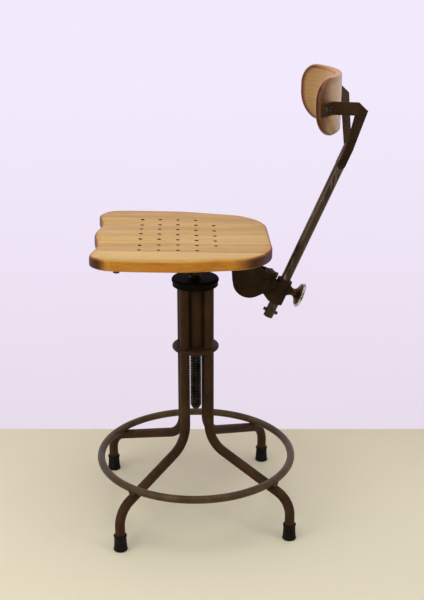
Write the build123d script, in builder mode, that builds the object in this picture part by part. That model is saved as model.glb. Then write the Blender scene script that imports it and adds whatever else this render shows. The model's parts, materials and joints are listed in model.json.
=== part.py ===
from build123d import *
from math import asin, atan2, cos, degrees, radians, sin, sqrt, tan
import os

# Draughtsman's chair: four bent tube legs and a foot ring, a wooden seat on a
# lifting screw, and a sprung back that slides in a clamp behind the seat.
# Millimetres. X is sideways, +Y is the rear, +Z is up. The origin is on the
# screw's axis, at floor level.

# ---- Running clearances -------------------------------------------------------
fit = 0.05  # radial play of a pin or shaft that turns or slides in a bore
face_gap = 0.3  # play between faces that move past each other
seat_gap = 0.05  # gap at a glued, pressed or welded seat

# ---- Base ---------------------------------------------------------------------
base_turn = 5.4  # the legs' turn from the seat's diagonals, degrees
leg_names = ["rear_left", "rear_right", "front_right", "front_left"]
leg_tube_r = 11.1
leg_wall = 1.6
leg_pitch_r = 39.0  # the upright tubes' distance from the screw
leg_spread_r = 270.0  # the feet's distance from the screw
leg_slope = 18.8  # fall of the sloping run, degrees
leg_elbow_z = 173.6  # where the upright and the sloping run would meet
upper_bend_r = 60.0
lower_bend_r = 50.0
foot_r = 15.8
foot_top_r = 14.2
foot_height = 38.0
foot_floor = 7.0  # rubber under the tube's end
foot_top_round = 1.5
foot_low_edge = 1.0
ring_tube_r = 8.7
ring_wall = 1.5
ring_r = 224.3
weld_r = 6.0

# ---- Column -------------------------------------------------------------------
collar_lip = 3.3  # the collars' overlap outside the tubes
collar_thick = 11.0
collar_round = 5.2
lower_collar_z = 404.0  # mid height
upper_collar_z = 564.5
collar_skirt = 7.0  # depth of the upper collar's skirt round the tubes
skirt_wall = 1.2  # the skirt's metal outside the tubes
socket_floor = 4.0  # metal left above the tubes in the upper collar
sleeve_leg_gap = 2.5  # between the sleeve and the tubes
sleeve_wall = 3.2
nut_height = 42.0
bush_height = 26.0

# ---- Lifting screw ------------------------------------------------------------
screw_r = 12.7
thread_pitch = 6.35
thread_depth = 2.4
thread_flat = 2.35  # width of a crest
screw_bottom_z = 248.0
screw_point = 9.0  # length of the tapered lower end
screw_point_r = 7.5
turns_down = 2  # from the stored height to the stop
washer_r = 27.0
washer_thick = 4.0
washer_edge = 0.8

# ---- Seat spider and board ----------------------------------------------------
seat_under_z = 643.0  # underside of the board at the screw's axis
seat_tilt = 1.5  # backward slope, degrees
boss_r = 23.0
boss_flange_r = 36.0
boss_flange_thick = 9.0
screw_grip = 46.0  # length of screw held in the boss
hub_pin_r = 3.0
hub_pin_rise = 14.0
hub_pin_edge = 0.6
arm_thick = 6.0
arm_end_r = 12.0
arm_root_r = 20.0
front_arm = (170.0, -165.0)
rear_arm = (120.0, 95.0)
coach_r = 4.0
coach_depth = 15.0
coach_head_r = 7.5
coach_head_thick = 5.0

board_thick = 25.5
board_front = -213.0
board_lobe = 9.0  # how far the three front lobes stand out
board_rear = 165.0
board_half_front = 200.0
board_half_wide = 204.0
board_half_rear = 186.0
board_corner_r = 108.0
board_corner_turn = 81.5  # degrees of arc before the side starts
board_front_corner_y = 30.0  # length of side taken by each front corner
board_wide_y = -53.3  # where the board is widest
board_side_lead = (-0.15, -1)  # the sides' direction as they reach the front corners
board_round = 4.0
board_lobe_x = 160.0  # middle of each outer lobe
thigh_x = 85.0
thigh_r = 240.0
thigh_depth = 4.5
thigh_fade = 1.4  # slope of the thigh hollows' floor, degrees
dish_r = 2100.0
dish_depth = 2.5
dish_y = 45.0
vent_r = 3.8
vent_pitch = 40.8
vent_front_y = -120.0
vent_counts = [7, 7, 7, 7, 5]

# ---- Rear bracket -------------------------------------------------------------
bracket_half = 18.0  # half the casting's width
cavity_half = 12.3
bracket_wall = 5.0
cheek_front_y = 78.0  # at the top of the cheeks
cheek_hollow = (147.5, 594.0)  # a point on the cheeks' hollow rear edge
cheek_shoulder = [(181.5, 574.0), (175.0, 583.0), (157.0, 585.8)]
cheek_heel_y = 180.0  # the shoulder's foot, inside the pivot boss
cavity_floor_end_y = 141.0
stop_web_thick = 5.0
stop_web_low, stop_web_high = 14.2, 19.0  # along the post
pivot_y, pivot_z = 162.0, 561.0
pivot_boss_r = 20.0
lobe_y, lobe_z = 122.0, 563.0
lobe_r = 38.5
flange_half = 44.0
flange_front_y = 62.0
flange_rear_y = 128.0
flange_thick = 5.0
flange_screw_x = 34.0
flange_screw_inset = 12.0  # from the flange's front and rear edges
flange_screw_r = 2.5
flange_screw_depth = 14.0
pin_r = 6.0
pin_head_r = 8.5
pin_head_thick = 3.5
pin_nut_r = 10.4
pin_nut_thick = 8.0
pin_tail = 3.0  # thread showing past the nut

# ---- Post carrier, clamp and post ---------------------------------------------
post_lean = 23.5  # from upright, degrees
post_ref_y, post_ref_z = 197.6, 550.0  # a point on the post's axis
post_r = 11.1
post_wall = 1.6
post_low = -82.0  # along the axis from the reference point
post_high = 345.0
carrier_r = 17.5
carrier_low = -45.0
carrier_high = 13.4
lug_half = 12.0
toe_y, toe_z = 108.0, 547.0
toe_r = 6.0
toe_pad_r = 11.5
toe_pad_low, toe_pad_high = 543.0, 550.0
toe_pocket_z = 547.0
web_corner_y, web_corner_z = 151.0, 534.0
web_high = 5.0  # along the post
clamp_s = -7.5  # the clamp screw's place along the post
clamp_boss_r = 11.5
clamp_boss_end = 21.0
clamp_screw_r = 5.0
pad_r = 6.5
pad_thick = 3.0
clamp_travel = 1.5
knob_gap = 1.0  # between the clamp boss and the knob
knob_neck_r = 9.5
knob_neck = 7.0
knob_flare_r = 25.0
knob_flare_lead = (1, 0.6)  # the flare's direction at its mouth
knob_length = 20.5
knob_rim_r = 28.5
knob_rim_thick = 6.8
knob_dish = 2.0
knob_dish_slope = 45.0
stop_pin_s = -68.0
stop_pin_r = 4.0
stop_pin_half = 17.0
stop_bolt_r = 3.5
stop_bolt_head_r = 7.5
stop_bolt_head_thick = 5.5
stop_bolt_s = 14.0  # along the post
stop_bolt_tip = -47.0  # across the post, on the bracket's web
ear_front, ear_rear = -45.0, -26.0
ear_low, ear_high = -14.0, 20.0
ear_half = 8.0

spring_r = 8.5
spring_wire_r = 1.5
spring_turns = 7

# ---- Yoke and backrest --------------------------------------------------------
strap_thick = 4.0
strap_width = 25.0
strap_foot_width = 18.0
strap_foot_low = 300.0  # along the post
strap_foot_high = 340.0
shoulder_x, shoulder_y, shoulder_z = 128.7, 348.8, 958.7
shoulder_bevel = 20.0  # the fold across each shoulder
strap_land_x = 112.0  # where the strap meets the back of the board
strap_tip_x = 143.0
strap_z = 964.0
strap_run_width = 27.0
rivet_r = 3.0
rivet_head_r = 5.5
rivet_head = 1.8
head_slope = 30.0  # side of a rivet's or a wood screw's head
rivet_places = [308.0, 330.0]

rest_r = 205.0  # the board's rear face
rest_thick = 15.0
rest_rear_y = 311.0
rest_half = 146.0
rest_low_z = 906.0
rest_high_z = 1026.0
rest_top_corner_r = 46.0
rest_low_corner_r = 58.0
rest_round = 5.0
rest_screw_r = 2.5
rest_screw_head_r = 5.0
rest_screw_head = 2.0
rest_screw_depth = 10.0
rest_screw_x = [121.0, 135.0]

# ---- Worked-out places --------------------------------------------------------
slope = radians(leg_slope)
leg_knee_z = leg_elbow_z - (leg_spread_r - leg_pitch_r) * tan(slope)
ring_on_leg_z = leg_elbow_z - (ring_r - leg_pitch_r) * tan(slope)
ring_z = ring_on_leg_z + (leg_tube_r + ring_tube_r + seat_gap) / cos(slope)

collar_r = leg_pitch_r + leg_tube_r + collar_lip
sleeve_r = leg_pitch_r - leg_tube_r - sleeve_leg_gap
collar_top_z = upper_collar_z + collar_thick / 2
leg_top_z = collar_top_z - socket_floor
upper_collar_low_z = upper_collar_z - collar_thick / 2
lower_collar_low_z = lower_collar_z - collar_thick / 2
skirt_low_z = upper_collar_low_z - collar_skirt
sleeve_bore = sleeve_r - sleeve_wall
washer_z = collar_top_z + turns_down * thread_pitch + face_gap
boss_z = washer_z + washer_thick + fit
screw_top_z = boss_z + screw_grip

seat_plane = Plane(
    origin=(0, 0, seat_under_z),
    x_dir=(1, 0, 0),
    z_dir=(0, sin(radians(seat_tilt)), cos(radians(seat_tilt))),
)

lean = radians(post_lean)
post_dir = Vector(0, sin(lean), cos(lean))
clamp_dir = Vector(0, cos(lean), -sin(lean))
post_ref = Vector(0, post_ref_y, post_ref_z)
clamp_origin = post_ref + post_dir * clamp_s
clamp_axis = Axis(clamp_origin, clamp_dir)
clamp_section = Plane(origin=clamp_origin, x_dir=(1, 0, 0), z_dir=post_dir)
side_plane = Plane.YZ

pad_start = post_r + face_gap
screw_start = pad_start + pad_thick + fit
knob_start = clamp_boss_end + knob_gap

rest_axis_y = rest_rear_y - rest_r
rest_span = degrees(asin(rest_half / rest_r))  # half the board's arc


def across_post(s, d=0.0):
    """A plane across the post at distance s along it, shifted d out along the clamp."""
    return Plane(
        origin=post_ref + post_dir * s + clamp_dir * d, x_dir=(1, 0, 0), z_dir=post_dir
    )


def across_clamp(d):
    """A plane across the clamp screw, d out from the post's axis."""
    return Plane(origin=clamp_origin + clamp_dir * d, x_dir=(1, 0, 0), z_dir=clamp_dir)


def leg_angle(number):
    return base_turn + 45 + 90 * number


def on_circle(radius, angle):
    return (radius * cos(radians(angle)), radius * sin(radians(angle)))


os.makedirs("parts", exist_ok=True)


def save(piece, name):
    piece.part.label = name
    export_step(piece.part, f"parts/{name}.step")


# ==== Legs, feet and ring ======================================================
for number, corner in enumerate(leg_names):
    angle = leg_angle(number)
    upright = Plane(origin=(0, 0, 0), x_dir=(*on_circle(1, angle), 0), z_dir=(*on_circle(1, angle - 90), 0))

    with BuildPart() as leg:
        with BuildLine(upright) as leg_path:
            FilletPolyline(
                (leg_pitch_r, leg_top_z),
                (leg_pitch_r, leg_elbow_z),
                (leg_spread_r, leg_knee_z),
                (leg_spread_r, foot_floor),
                radius=[upper_bend_r, lower_bend_r],
            )
        with BuildSketch(Plane(origin=leg_path.line @ 0, z_dir=leg_path.line % 0)):
            Circle(leg_tube_r)
            Circle(leg_tube_r - leg_wall, mode=Mode.SUBTRACT)
        sweep()
    save(leg, f"leg_{corner}")

    with BuildPart() as foot:
        with BuildSketch(Plane(on_circle(leg_spread_r, angle))):
            Circle(foot_r)
        with BuildSketch(Plane(origin=(*on_circle(leg_spread_r, angle), foot_height))):
            Circle(foot_top_r)
        loft()
        fillet(foot.edges().group_by(Axis.Z)[-1], foot_top_round)
        chamfer(foot.edges().group_by(Axis.Z)[0], foot_low_edge)
        with BuildSketch(Plane(origin=(*on_circle(leg_spread_r, angle), foot_floor - seat_gap))):
            Circle(leg_tube_r + seat_gap)
        extrude(amount=foot_height, mode=Mode.SUBTRACT)
    save(foot, f"foot_{corner}")

with BuildPart() as foot_ring:
    with BuildSketch(Plane.XZ):
        with Locations((ring_r, ring_z)):
            Circle(ring_tube_r)
            Circle(ring_tube_r - ring_wall, mode=Mode.SUBTRACT)
    revolve(axis=Axis.Z)
save(foot_ring, "foot_ring")

with BuildPart() as ring_welds:
    for number in range(len(leg_names)):
        angle = leg_angle(number)
        radial = Vector(*on_circle(1, angle), 0)
        run = radial * cos(slope) - Vector(0, 0, sin(slope))
        up = radial * sin(slope) + Vector(0, 0, cos(slope))
        on_leg = radial * ring_r + Vector(0, 0, ring_on_leg_z)
        with BuildSketch(Plane(origin=on_leg, z_dir=up)):
            Circle(weld_r)
        extrude(amount=leg_tube_r + ring_tube_r)
        with BuildSketch(Plane(origin=on_leg - run * leg_pitch_r, z_dir=run)):
            Circle(leg_tube_r + seat_gap)
        extrude(amount=2 * leg_pitch_r, mode=Mode.SUBTRACT)
    with BuildSketch(Plane.XZ):
        with Locations((ring_r, ring_z)):
            Circle(ring_tube_r + seat_gap)
    revolve(axis=Axis.Z, mode=Mode.SUBTRACT)
save(ring_welds, "ring_welds")

# ==== Column ===================================================================
with BuildPart() as lower_collar:
    with BuildSketch(Plane.XY.offset(lower_collar_low_z)):
        Circle(collar_r)
    extrude(amount=collar_thick)
    fillet(lower_collar.edges(), collar_round)
    with BuildSketch(Plane.XY.offset(lower_collar_low_z)):
        Circle(sleeve_r + seat_gap)
        with PolarLocations(leg_pitch_r, len(leg_names), start_angle=leg_angle(0)):
            Circle(leg_tube_r + seat_gap)
    extrude(amount=collar_thick, mode=Mode.SUBTRACT)
save(lower_collar, "lower_collar")

with BuildPart() as upper_collar:
    with BuildSketch(Plane.XY.offset(upper_collar_low_z)):
        Circle(collar_r)
    extrude(amount=collar_thick)
    fillet(upper_collar.edges(), collar_round)
    with BuildSketch(Plane.XY.offset(skirt_low_z)):
        Circle(leg_pitch_r + leg_tube_r + skirt_wall)
    extrude(amount=upper_collar_z - skirt_low_z)
    with BuildSketch(Plane.XY.offset(skirt_low_z)):
        Circle(sleeve_r + seat_gap)
        with PolarLocations(leg_pitch_r, len(leg_names), start_angle=leg_angle(0)):
            Circle(leg_tube_r + seat_gap)
    extrude(amount=leg_top_z - skirt_low_z + seat_gap, mode=Mode.SUBTRACT)
    with BuildSketch(Plane.XY.offset(upper_collar_low_z)):
        Circle(screw_r + face_gap)
    extrude(amount=collar_thick, mode=Mode.SUBTRACT)
save(upper_collar, "upper_collar")

with BuildPart() as column_sleeve:
    with BuildSketch(Plane.XY.offset(lower_collar_low_z)):
        Circle(sleeve_r)
        Circle(sleeve_bore, mode=Mode.SUBTRACT)
    extrude(amount=leg_top_z - lower_collar_low_z)
save(column_sleeve, "column_sleeve")

with BuildPart() as seat_nut:
    with BuildSketch(Plane.XY.offset(leg_top_z - nut_height)):
        Circle(sleeve_bore - seat_gap)
        Circle(screw_r + fit, mode=Mode.SUBTRACT)
    extrude(amount=nut_height)
save(seat_nut, "seat_nut")

with BuildPart() as guide_bush:
    with BuildSketch(Plane.XY.offset(lower_collar_low_z)):
        Circle(sleeve_bore - seat_gap)
        Circle(screw_r + fit, mode=Mode.SUBTRACT)
    extrude(amount=bush_height)
save(guide_bush, "guide_bush")

# ==== Lifting screw ============================================================
with BuildPart() as thrust_washer:
    with BuildSketch(Plane.XY.offset(washer_z)):
        Circle(washer_r)
        Circle(screw_r + fit, mode=Mode.SUBTRACT)
    extrude(amount=washer_thick)
    chamfer(thrust_washer.edges().filter_by(GeomType.CIRCLE).sort_by(SortBy.RADIUS)[-2:], washer_edge)
save(thrust_washer, "thrust_washer")

thread_turns = int((washer_z - screw_bottom_z - screw_point) / thread_pitch)
thread_slant = (thread_pitch - 2 * thread_flat) / 2
root_r = screw_r - thread_depth
with BuildPart() as seat_screw:
    with BuildSketch(Plane.XZ):
        with BuildLine():
            low = screw_bottom_z + screw_point
            outline = [(0, screw_bottom_z), (screw_point_r, screw_bottom_z), (screw_r, low)]
            for turn in range(thread_turns):
                start = low + turn * thread_pitch
                outline += [
                    (screw_r, start + thread_flat),
                    (root_r, start + thread_flat + thread_slant),
                    (root_r, start + 2 * thread_flat + thread_slant),
                    (screw_r, start + thread_pitch),
                ]
            outline += [(screw_r, screw_top_z), (0, screw_top_z)]
            Polyline(*outline, close=True)
        make_face()
    revolve(axis=Axis.Z)
    with BuildSketch(Plane.YZ.offset(-boss_r)):
        with Locations((0, boss_z + hub_pin_rise)):
            Circle(hub_pin_r + seat_gap)
    extrude(amount=2 * boss_r, mode=Mode.SUBTRACT)
save(seat_screw, "seat_screw")

with BuildPart() as hub_pin:
    with BuildSketch(Plane.YZ.offset(-boss_r - 1)):
        with Locations((0, boss_z + hub_pin_rise)):
            Circle(hub_pin_r)
    extrude(amount=2 * boss_r + 2)
    chamfer(hub_pin.edges(), hub_pin_edge)
save(hub_pin, "hub_pin")

# ==== Seat hub and arms ========================================================
arm_ends = {
    f"{end}_{side}": (sign * x, y)
    for end, (x, y) in (("front", front_arm), ("rear", rear_arm))
    for side, sign in (("left", 1), ("right", -1))
}

with BuildPart() as seat_hub:
    with BuildSketch(seat_plane):
        Circle(boss_flange_r)
    extrude(amount=-boss_flange_thick)
    with BuildSketch(Plane.XY.offset(boss_z)):
        Circle(boss_r)
    extrude(amount=seat_under_z - boss_z - boss_flange_thick / 2)
    with BuildSketch(Plane.XY.offset(boss_z)):
        Circle(screw_r + seat_gap)
    extrude(amount=screw_grip + seat_gap, mode=Mode.SUBTRACT)
    with BuildSketch(Plane.YZ.offset(-2 * boss_r)):
        with Locations((0, boss_z + hub_pin_rise)):
            Circle(hub_pin_r + seat_gap)
    extrude(amount=4 * boss_r, mode=Mode.SUBTRACT)
save(seat_hub, "seat_hub")

for corner, end in arm_ends.items():
    with BuildPart() as seat_arm:
        with BuildSketch(seat_plane):
            Circle(arm_root_r)
            with Locations(end):
                Circle(arm_end_r)
            make_hull()
            Circle(boss_flange_r + seat_gap, mode=Mode.SUBTRACT)
            with Locations(end):
                Circle(coach_r + seat_gap, mode=Mode.SUBTRACT)
        extrude(amount=-arm_thick)
    save(seat_arm, f"seat_arm_{corner}")

with BuildPart() as seat_arm_screws:
    with BuildSketch(seat_plane.offset(-arm_thick - seat_gap)):
        with Locations(*arm_ends.values()):
            RegularPolygon(coach_head_r, 6)
    extrude(amount=-coach_head_thick)
    with BuildSketch(seat_plane.offset(-arm_thick - seat_gap)):
        with Locations(*arm_ends.values()):
            Circle(coach_r)
    extrude(amount=arm_thick + coach_depth)
save(seat_arm_screws, "seat_arm_screws")

# ==== Seat board ===============================================================
flange_screws = [
    (side * flange_screw_x, y)
    for y in (flange_front_y + flange_screw_inset, flange_rear_y - flange_screw_inset)
    for side in (1, -1)
]
corner_x = board_half_rear - board_corner_r
corner_y = board_rear - board_corner_r
board_top = seat_plane.offset(board_thick)
with BuildPart() as seat_board:
    with BuildSketch(seat_plane):
        with BuildLine():
            rear = Line((0, board_rear), (corner_x, board_rear))
            corner = CenterArc((corner_x, corner_y), board_corner_r, 90, -board_corner_turn)
            side = Spline(
                corner @ 1,
                (board_half_wide, board_wide_y),
                (board_half_front, board_front + board_front_corner_y),
                tangents=[corner % 1, board_side_lead],
            )
            front_corner = Spline(
                side @ 1,
                (board_lobe_x, board_front - board_lobe),
                tangents=[board_side_lead, (-1, 0)],
            )
            outer_lobe = Spline(
                front_corner @ 1,
                (thigh_x, board_front),
                tangents=[(-1, 0), (-1, 0)],
            )
            Spline(
                outer_lobe @ 1,
                (0, board_front - board_lobe),
                tangents=[(-1, 0), (-1, 0)],
            )
            mirror(about=Plane.YZ)
        make_face()
    extrude(amount=board_thick)
    rims = seat_board.faces().filter_by(GeomType.PLANE).sort_by(SortBy.AREA)[-2:]
    fillet(rims.edges(), board_round)
    for side_x in (-thigh_x, thigh_x):
        hollow_axis = Plane(
            origin=board_top.from_local_coords((side_x, board_front - board_lobe, thigh_r - thigh_depth)),
            x_dir=(1, 0, 0),
            z_dir=(0, cos(radians(thigh_fade - seat_tilt)), sin(radians(thigh_fade - seat_tilt))),
        )
        with BuildSketch(hollow_axis):
            Circle(thigh_r)
        extrude(amount=thigh_r, both=True, mode=Mode.SUBTRACT)
    with Locations(board_top.from_local_coords((0, dish_y, dish_r - dish_depth))):
        Sphere(dish_r, mode=Mode.SUBTRACT)
    with BuildSketch(board_top):
        for row, count in enumerate(vent_counts):
            with Locations((0, vent_front_y + row * vent_pitch)):
                with GridLocations(vent_pitch, 1, count, 1):
                    Circle(vent_r)
    extrude(amount=-board_thick, mode=Mode.SUBTRACT)
    with BuildSketch(seat_plane):
        with Locations(*arm_ends.values()):
            Circle(coach_r + seat_gap)
    extrude(amount=coach_depth + seat_gap, mode=Mode.SUBTRACT)
    with BuildSketch(seat_plane):
        with Locations(*flange_screws):
            Circle(flange_screw_r + seat_gap)
    extrude(amount=flange_screw_depth + seat_gap, mode=Mode.SUBTRACT)
save(seat_board, "seat_board")

# ==== Rear bracket =============================================================
roof_z = seat_under_z - flange_thick
with BuildPart() as back_bracket:
    with BuildSketch(side_plane):
        with Locations((lobe_y, lobe_z)):
            Circle(lobe_r)
        with Locations((pivot_y, pivot_z)):
            Circle(pivot_boss_r)
        make_hull()
        with BuildLine():
            Polyline(
                (cheek_front_y, seat_under_z),
                (lobe_y - lobe_r, lobe_z),
                (lobe_y, lobe_z),
                (pivot_y, pivot_z),
                (cheek_heel_y, pivot_z),
                *cheek_shoulder,
            )
            Spline(cheek_shoulder[-1], cheek_hollow, (flange_rear_y, seat_under_z))
            Line((flange_rear_y, seat_under_z), (cheek_front_y, seat_under_z))
        make_face()
    extrude(amount=bracket_half, both=True)
    with BuildSketch(side_plane):
        with Locations((lobe_y, lobe_z)):
            Circle(lobe_r - bracket_wall)
        with BuildLine():
            Polyline(
                (cheek_front_y + bracket_wall, seat_under_z),
                (lobe_y - lobe_r + bracket_wall, lobe_z),
                (cavity_floor_end_y, lobe_z),
                (cavity_floor_end_y, lobe_z - 2 * lobe_r),
                (pivot_y + 2 * pivot_boss_r, lobe_z - 2 * lobe_r),
                (pivot_y + 2 * pivot_boss_r, seat_under_z),
                close=True,
            )
        make_face()
    extrude(amount=cavity_half, both=True, mode=Mode.SUBTRACT)
    with BuildSketch(across_post(stop_web_low, stop_bolt_tip - fit - stop_web_thick / 2)):
        Rectangle(2 * bracket_half, stop_web_thick)
    extrude(amount=stop_web_high - stop_web_low)
    for cheek in (-1, 1):
        cheek_x = cheek * (bracket_half + cavity_half) / 2
        with BuildSketch(across_post(0, stop_bolt_tip - fit - stop_web_thick / 2)):
            with Locations((cheek_x, 0)):
                Rectangle(bracket_half - cavity_half, stop_web_thick)
        extrude(amount=stop_web_high)
    with BuildSketch(seat_plane):
        with Locations((0, (flange_front_y + flange_rear_y) / 2)):
            Rectangle(2 * flange_half, flange_rear_y - flange_front_y)
    extrude(amount=-flange_thick)
    with BuildSketch(seat_plane):
        Rectangle(4 * flange_half, 4 * flange_rear_y)
    extrude(amount=board_thick, mode=Mode.SUBTRACT)
    with BuildSketch(seat_plane):
        with Locations(*flange_screws):
            Circle(flange_screw_r + seat_gap)
    extrude(amount=-flange_thick, mode=Mode.SUBTRACT)
    with BuildSketch(side_plane):
        with Locations((pivot_y, pivot_z)):
            Circle(pin_r + seat_gap)
    extrude(amount=bracket_half, both=True, mode=Mode.SUBTRACT)
save(back_bracket, "back_bracket")

with BuildPart() as bracket_screws:
    with BuildSketch(seat_plane.offset(-flange_thick - seat_gap)):
        with Locations(*flange_screws):
            Circle(2 * flange_screw_r)
    extrude(amount=-flange_screw_r)
    fillet(bracket_screws.edges().group_by(Axis.Z)[:4], flange_screw_r / 2)
    with BuildSketch(seat_plane.offset(-flange_thick - seat_gap)):
        with Locations(*flange_screws):
            Circle(flange_screw_r)
    extrude(amount=flange_thick + flange_screw_depth)
save(bracket_screws, "bracket_screws")

with BuildPart() as pivot_bolt:
    with BuildSketch(Plane.YZ.offset(bracket_half + seat_gap)):
        with Locations((pivot_y, pivot_z)):
            Circle(pin_head_r)
    extrude(amount=pin_head_thick)
    fillet(pivot_bolt.faces().sort_by(Axis.X)[-1].edges(), pin_head_thick / 2)
    with BuildSketch(Plane.YZ.offset(bracket_half + seat_gap)):
        with Locations((pivot_y, pivot_z)):
            Circle(pin_r)
    extrude(amount=-2 * bracket_half - pin_nut_thick - pin_tail)
save(pivot_bolt, "pivot_bolt")

with BuildPart() as pivot_nut:
    with BuildSketch(Plane.YZ.offset(-bracket_half - seat_gap)):
        with Locations((pivot_y, pivot_z)):
            RegularPolygon(pin_nut_r, 6)
            Circle(pin_r + seat_gap, mode=Mode.SUBTRACT)
    extrude(amount=-pin_nut_thick)
save(pivot_nut, "pivot_nut")

spring_low = toe_pocket_z + seat_gap + spring_wire_r
spring_high = roof_z - toe_y * tan(radians(seat_tilt)) - seat_gap - spring_wire_r
with BuildPart() as back_spring:
    with BuildLine():
        coil = Helix(
            pitch=(spring_high - spring_low) / spring_turns,
            height=spring_high - spring_low,
            radius=spring_r,
            center=(0, toe_y, spring_low),
        )
    with BuildSketch(Plane(origin=coil @ 0, z_dir=coil % 0)):
        Circle(spring_wire_r)
    sweep(is_frenet=True)
save(back_spring, "back_spring")

# ==== Post carrier =============================================================
with BuildPart() as post_carrier:
    with BuildSketch(side_plane):
        with Locations((pivot_y, pivot_z)):
            Circle(pivot_boss_r)
        with Locations((toe_y, toe_z)):
            Circle(toe_r)
        make_hull()
        with BuildLine():
            low = post_ref + post_dir * carrier_low
            high = post_ref + post_dir * web_high
            front_low = low - clamp_dir * carrier_r
            Polyline(
                (low.Y, low.Z),
                (front_low.Y, front_low.Z),
                (web_corner_y, web_corner_z),
                (pivot_y - pivot_boss_r, pivot_z),
                (pivot_y, pivot_z + pin_r),
                (high.Y, high.Z),
                close=True,
            )
        make_face()
    extrude(amount=lug_half, both=True)
    with BuildSketch(Plane((0, toe_y, toe_pad_low))):
        Circle(toe_pad_r)
    extrude(amount=toe_pad_high - toe_pad_low)
    with BuildSketch(Plane((0, toe_y, toe_pocket_z))):
        Circle(spring_r + spring_wire_r + face_gap)
    extrude(amount=pivot_boss_r, mode=Mode.SUBTRACT)
    with BuildSketch(across_post(ear_low, (ear_front + ear_rear) / 2)):
        Rectangle(2 * ear_half, ear_rear - ear_front)
    extrude(amount=ear_high - ear_low)
    with BuildSketch(across_post(carrier_low)):
        Circle(carrier_r)
    extrude(amount=carrier_high - carrier_low)
    with BuildSketch(across_clamp(0)):
        Circle(clamp_boss_r)
    extrude(amount=clamp_boss_end)
    with BuildSketch(across_post(0)):
        Circle(post_r + fit)
    extrude(amount=carrier_high - carrier_low, both=True, mode=Mode.SUBTRACT)
    with BuildSketch(across_clamp(0)):
        Circle(pad_r + fit)
    extrude(amount=pad_start + pad_thick + clamp_travel + face_gap, mode=Mode.SUBTRACT)
    with BuildSketch(across_clamp(0)):
        Circle(clamp_screw_r + fit)
    extrude(amount=clamp_boss_end, mode=Mode.SUBTRACT)
    with BuildSketch(side_plane):
        with Locations((pivot_y, pivot_z)):
            Circle(pin_r + fit)
    extrude(amount=lug_half, both=True, mode=Mode.SUBTRACT)
    bolt_line = Plane(
        origin=post_ref + post_dir * stop_bolt_s + clamp_dir * stop_bolt_tip,
        x_dir=(1, 0, 0),
        z_dir=clamp_dir,
    )
    with BuildSketch(bolt_line):
        Circle(stop_bolt_r + seat_gap)
    extrude(amount=ear_rear - stop_bolt_tip, mode=Mode.SUBTRACT)
    with BuildSketch(bolt_line.offset(ear_rear - stop_bolt_tip)):
        Circle(stop_bolt_head_r + face_gap)
    extrude(amount=-carrier_r - ear_rear, mode=Mode.SUBTRACT)
save(post_carrier, "post_carrier")

with BuildPart() as stop_bolt:
    with BuildSketch(bolt_line.offset(ear_rear - stop_bolt_tip + seat_gap)):
        RegularPolygon(stop_bolt_head_r, 6)
    extrude(amount=stop_bolt_head_thick)
    with BuildSketch(bolt_line):
        Circle(stop_bolt_r)
    extrude(amount=ear_rear - stop_bolt_tip + seat_gap)
save(stop_bolt, "stop_bolt")

# ==== Clamp ====================================================================
with BuildPart() as clamp_pad:
    with BuildSketch(across_clamp(pad_start)):
        Circle(pad_r)
    extrude(amount=pad_thick)
save(clamp_pad, "clamp_pad")

with BuildPart() as clamp_screw:
    with BuildSketch(across_clamp(screw_start)):
        Circle(clamp_screw_r)
    extrude(amount=knob_start + knob_length - screw_start)
save(clamp_screw, "clamp_screw")

with BuildPart() as clamp_knob:
    with BuildSketch(clamp_section):
        with BuildLine():
            neck_end = knob_start + knob_neck
            knob_end = knob_start + knob_length
            Polyline(
                (clamp_screw_r + seat_gap, knob_end),
                (clamp_screw_r + seat_gap, knob_start),
                (knob_neck_r, knob_start),
                (knob_neck_r, neck_end),
            )
            Spline(
                (knob_neck_r, neck_end),
                (knob_flare_r, knob_end),
                tangents=[(0, 1), knob_flare_lead],
            )
            Line((knob_flare_r, knob_end), (clamp_screw_r + seat_gap, knob_end))
        make_face()
    revolve(axis=clamp_axis)
save(clamp_knob, "clamp_knob")

with BuildPart() as knob_rim:
    with BuildSketch(across_clamp(knob_start + knob_length + seat_gap)):
        Circle(knob_rim_r)
    extrude(amount=knob_rim_thick)
    fillet(knob_rim.edges(), knob_rim_thick / 3)
    with BuildSketch(across_clamp(knob_start + knob_length + knob_rim_thick + seat_gap)):
        Circle(knob_rim_r - knob_rim_thick)
    extrude(amount=-knob_dish, taper=knob_dish_slope, mode=Mode.SUBTRACT)
save(knob_rim, "knob_rim")

# ==== Back post ================================================================
with BuildPart() as back_post:
    with BuildSketch(across_post(post_low)):
        Circle(post_r)
        Circle(post_r - post_wall, mode=Mode.SUBTRACT)
    extrude(amount=post_high - post_low)
    with BuildSketch(Plane.YZ.offset(-post_r)):
        for s in rivet_places:
            place = post_ref + post_dir * s
            with Locations((place.Y, place.Z)):
                Circle(rivet_r + seat_gap)
    extrude(amount=2 * post_r, mode=Mode.SUBTRACT)
    pin_place = post_ref + post_dir * stop_pin_s
    with BuildSketch(Plane(origin=pin_place - clamp_dir * post_r, x_dir=(1, 0, 0), z_dir=clamp_dir)):
        Circle(stop_pin_r + seat_gap)
    extrude(amount=2 * post_r, mode=Mode.SUBTRACT)
save(back_post, "back_post")

with BuildPart() as post_stop_pin:
    with BuildSketch(
        Plane(origin=pin_place - clamp_dir * stop_pin_half, x_dir=(1, 0, 0), z_dir=clamp_dir)
    ):
        Circle(stop_pin_r)
    extrude(amount=2 * stop_pin_half)
    fillet(post_stop_pin.edges(), stop_pin_r / 3)
save(post_stop_pin, "post_stop_pin")

# ==== Yoke =====================================================================
strap_half = strap_thick / 2
foot_x = post_r + seat_gap + strap_half
run_r = rest_r + seat_gap + strap_half
run_high = strap_z + strap_run_width / 2
run_low = strap_z - strap_run_width / 2


def at_radius(radius, x):
    """The plan point at this sideways distance on a circle about the backrest's axis."""
    return (x, rest_axis_y + sqrt(radius**2 - x**2))


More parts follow.
